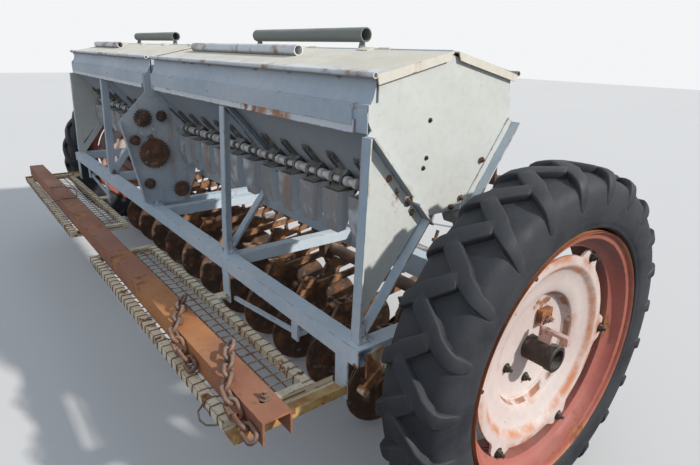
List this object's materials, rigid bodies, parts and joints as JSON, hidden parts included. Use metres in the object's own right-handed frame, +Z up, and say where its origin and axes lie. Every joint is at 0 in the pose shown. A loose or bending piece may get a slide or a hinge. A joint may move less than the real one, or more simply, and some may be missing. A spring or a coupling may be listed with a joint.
{
  "type": "seed drill",
  "caption": "Trailed seed drill: twin sheet-metal hoppers over rows of double-disc openers, with two lugged drive wheels, rear footboard and A-shaped drawbar on a folding stand.",
  "frame": {"origin": "on the ground under the middle of the machine's length and width", "axes": "+X to the machine's right, +Y forwards to the drawbar, +Z up"},
  "size_m": [4.321, 3.594, 1.618],
  "materials": {
    "frame_paint": "worn pale blue-grey paint with rust at edges",
    "hopper_paint": "faded pale grey-blue paint, cream on the sunny side",
    "lid_paint": "chalky cream paint with dust",
    "rusty_steel": "dark brown rust",
    "orange_rust": "orange rust over old primer",
    "pale_casting": "weathered grey castings",
    "galvanised": "dull bright metal",
    "board_paint": "rubbed yellowish paint with rust",
    "tow_bar_paint": "red-brown primer with orange rust",
    "rubber": "dusty weathered rubber",
    "wheel_paint": "faded pink-white paint, red rim",
    "drawbar_paint": "worn blue-grey paint",
    "cylinder_paint": "faded red paint with grime",
    "chrome_rod": "dulled chrome"
  },
  "bodies": {
    "root": {"front_beam": "frame_paint", "rear_beam": "frame_paint", "side_members": "frame_paint", "cross_members": "frame_paint", "half_axles": "rusty_steel", "opener_beam": "rusty_steel", "lift_bearings": "galvanised", "drawbar": "drawbar_paint", "hitch": "rusty_steel", "hopper_right": "hopper_paint", "hopper_left": "hopper_paint", "hopper_supports": "frame_paint", "drive_plate": "frame_paint", "drive_wheels": "rusty_steel", "fertiliser_units": "pale_casting", "fertiliser_shafts": "galvanised", "grain_units": "pale_casting", "grain_shafts": "galvanised", "frame_legs": "frame_paint", "truss_rod": "frame_paint", "footboard_right": "board_paint", "footboard_left": "board_paint", "tow_bar": "tow_bar_paint", "tow_chains": "rusty_steel", "corner_bracket": "pale_casting"},
    "right_wheel": {"wheel_right": "wheel_paint", "tyre_right": "rubber"},
    "left_wheel": {"wheel_left": "wheel_paint", "tyre_left": "rubber"},
    "rear_right_lid": {"lid_rear_right": "lid_paint"},
    "front_right_lid": {"lid_front_right": "lid_paint"},
    "rear_left_lid": {"lid_rear_left": "lid_paint"},
    "front_left_lid": {"lid_front_left": "lid_paint"},
    "parking_stand": {"stand": "drawbar_paint"},
    "opener_rows": {"opener_bodies": "orange_rust", "opener_discs": "rusty_steel"},
    "rods": {"press_rods": "orange_rust"},
    "shaft": {"lift_shaft": "galvanised"},
    "barrel": {"cylinder_barrel": "cylinder_paint"},
    "piston": {"cylinder_rod": "chrome_rod"}
  },
  "joints": [
    {"name": "right_wheel_spin", "type": "hinge", "parent": "root", "child": "right_wheel", "pos_m": [2.04, -0.848, 0.6175], "axis": [1, 0, 0], "continuous": true},
    {"name": "left_wheel_spin", "type": "hinge", "parent": "root", "child": "left_wheel", "pos_m": [-2.04, -0.848, 0.6175], "axis": [1, 0, 0], "continuous": true},
    {"name": "rear_right_lid_swing", "type": "hinge", "parent": "root", "child": "rear_right_lid", "pos_m": [0.9, -1.0455, 1.533], "axis": [-1, 0, 0], "range_deg": [0, 65]},
    {"name": "front_right_lid_swing", "type": "hinge", "parent": "root", "child": "front_right_lid", "pos_m": [0.9, -1.0455, 1.533], "axis": [1, 0, 0], "range_deg": [0, 65]},
    {"name": "rear_left_lid_swing", "type": "hinge", "parent": "root", "child": "rear_left_lid", "pos_m": [-0.9, -1.0455, 1.533], "axis": [-1, 0, 0], "range_deg": [0, 65]},
    {"name": "front_left_lid_swing", "type": "hinge", "parent": "root", "child": "front_left_lid", "pos_m": [-0.9, -1.0455, 1.533], "axis": [1, 0, 0], "range_deg": [0, 65]},
    {"name": "stand_swing", "type": "hinge", "parent": "root", "child": "parking_stand", "pos_m": [0, 1.432, 0.6], "axis": [-1, 0, 0], "range_deg": [0, 90]},
    {"name": "opener_lift", "type": "hinge", "parent": "root", "child": "opener_rows", "pos_m": [0, -0.328, 0.44], "axis": [-1, 0, 0], "range_deg": [0, 14]},
    {"name": "rod_swing", "type": "hinge", "parent": "opener_rows", "child": "rods", "pos_m": [0, -0.598, 0.442], "axis": [1, 0, 0], "range_deg": [0, 14]},
    {"name": "shaft_turn", "type": "hinge", "parent": "root", "child": "shaft", "pos_m": [0, -0.623, 0.668], "axis": [1, 0, 0], "range_deg": [0, 39.2]},
    {"name": "cylinder_tilt", "type": "hinge", "parent": "root", "child": "barrel", "pos_m": [0, 0.212, 0.67], "axis": [1, 0, 0], "range_deg": [0, 0.72]},
    {"name": "cylinder_stroke", "type": "slide", "parent": "barrel", "child": "piston", "axis": [0, -0.9904, 0.1384], "range_m": [0, 0.0799]}
  ],
  "couplings": [
    {"joint": "rod_swing", "follows": "opener_lift", "ratio": 1},
    {"joint": "shaft_turn", "follows": "opener_lift", "ratio": 2.8},
    {"joint": "cylinder_tilt", "follows": "opener_lift", "ratio": 0.0514},
    {"joint": "cylinder_stroke", "follows": "opener_lift", "m_per_rad": 0.3269}
  ]
}
